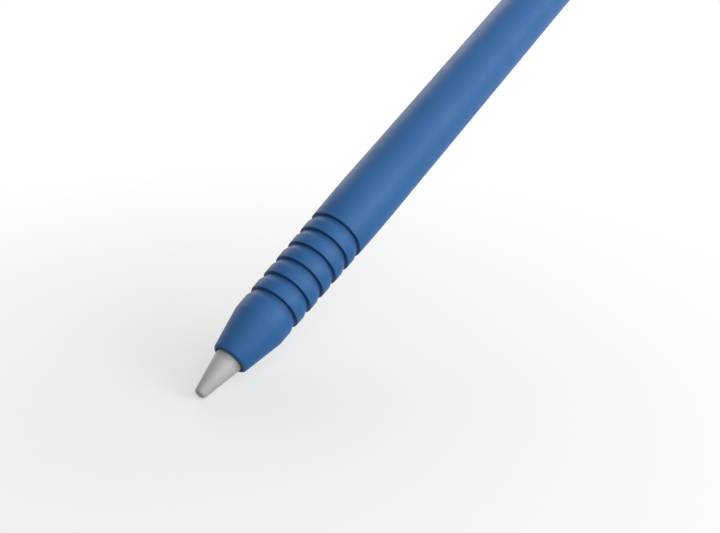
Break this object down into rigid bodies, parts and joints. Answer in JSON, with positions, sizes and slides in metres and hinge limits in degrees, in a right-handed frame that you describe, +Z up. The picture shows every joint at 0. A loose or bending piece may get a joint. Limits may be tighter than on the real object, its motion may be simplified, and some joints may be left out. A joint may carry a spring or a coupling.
{
  "type": "stylus grip sleeve",
  "caption": "Slim silicone grip sleeve with stepped rings, on a stylus that slides out of its rear and has a sprung, screw-on nib.",
  "frame": {"origin": "under the middle of the length, on the plane of the flat that the sleeve lies on", "axes": "+X along the pen from nib to tail, +Y across it, +Z up"},
  "size_m": [0.172, 0.0112, 0.0107],
  "materials": {
    "sleeve_silicone": "moulded silicone, matt, faintly velvety",
    "nib_plastic": "satin light grey",
    "white_plastic": "polished white",
    "inner_plastic": "black moulding",
    "steel": "turned or pressed, bright",
    "brass": "turned",
    "aluminium": "bright extrusion",
    "board": "green solder mask",
    "film": "amber polyimide film",
    "cell": "wrapped cell",
    "foam": "closed-cell foam",
    "elastomer": "black elastomer",
    "ferrite": "sintered, dark grey",
    "magnet": "nickel plated",
    "copper": "enamelled copper wire"
  },
  "bodies": {
    "sleeve": {"grip_sleeve": "sleeve_silicone"},
    "stylus": {"shaft_seal": "elastomer", "front_ferrule": "white_plastic", "ring_electrode": "steel", "shaft_bushing": "brass", "force_sensor": "steel", "sensor_bracket": "aluminium", "sensor_flex": "film", "barrel_tube": "white_plastic", "tail_cap": "white_plastic", "tail_seal": "elastomer", "inner_chassis": "aluminium", "logic_board": "board", "flex_connector": "inner_plastic", "battery_connector": "inner_plastic", "shield_can_front": "steel", "shield_can_rear": "steel", "touch_sensor": "film", "battery_pad_front": "foam", "battery_cell": "cell", "battery_pad_rear": "foam", "magnet_tray": "inner_plastic", "magnet_1": "magnet", "magnet_2": "magnet", "magnet_3": "magnet", "magnet_4": "magnet", "coil_core": "ferrite", "charge_coil": "copper"},
    "plunger": {"nib_post": "steel"},
    "nib_thread": {"nib_insert": "brass"},
    "nib": {"nib_shell": "nib_plastic"}
  },
  "joints": [
    {"name": "stylus_pullout", "type": "slide", "parent": "sleeve", "child": "stylus", "axis": [1, 0, 0], "range_m": [0, 0.143]},
    {"name": "nib_press", "type": "slide", "parent": "stylus", "child": "plunger", "axis": [1, 0, 0], "range_m": [0, 0.00025], "stiffness_N_per_m": 2000},
    {"name": "nib_travel", "type": "slide", "parent": "plunger", "child": "nib_thread", "axis": [-1, 0, 0], "range_m": [0, 0.003]},
    {"name": "nib_unscrew", "type": "hinge", "parent": "nib_thread", "child": "nib", "pos_m": [-0.0815, 0, 0.00508], "axis": [-1, 0, 0], "range_deg": [0, 2160]}
  ],
  "couplings": [
    {"joint": "nib_unscrew", "follows": "nib_travel", "rad_per_m": 12566}
  ]
}
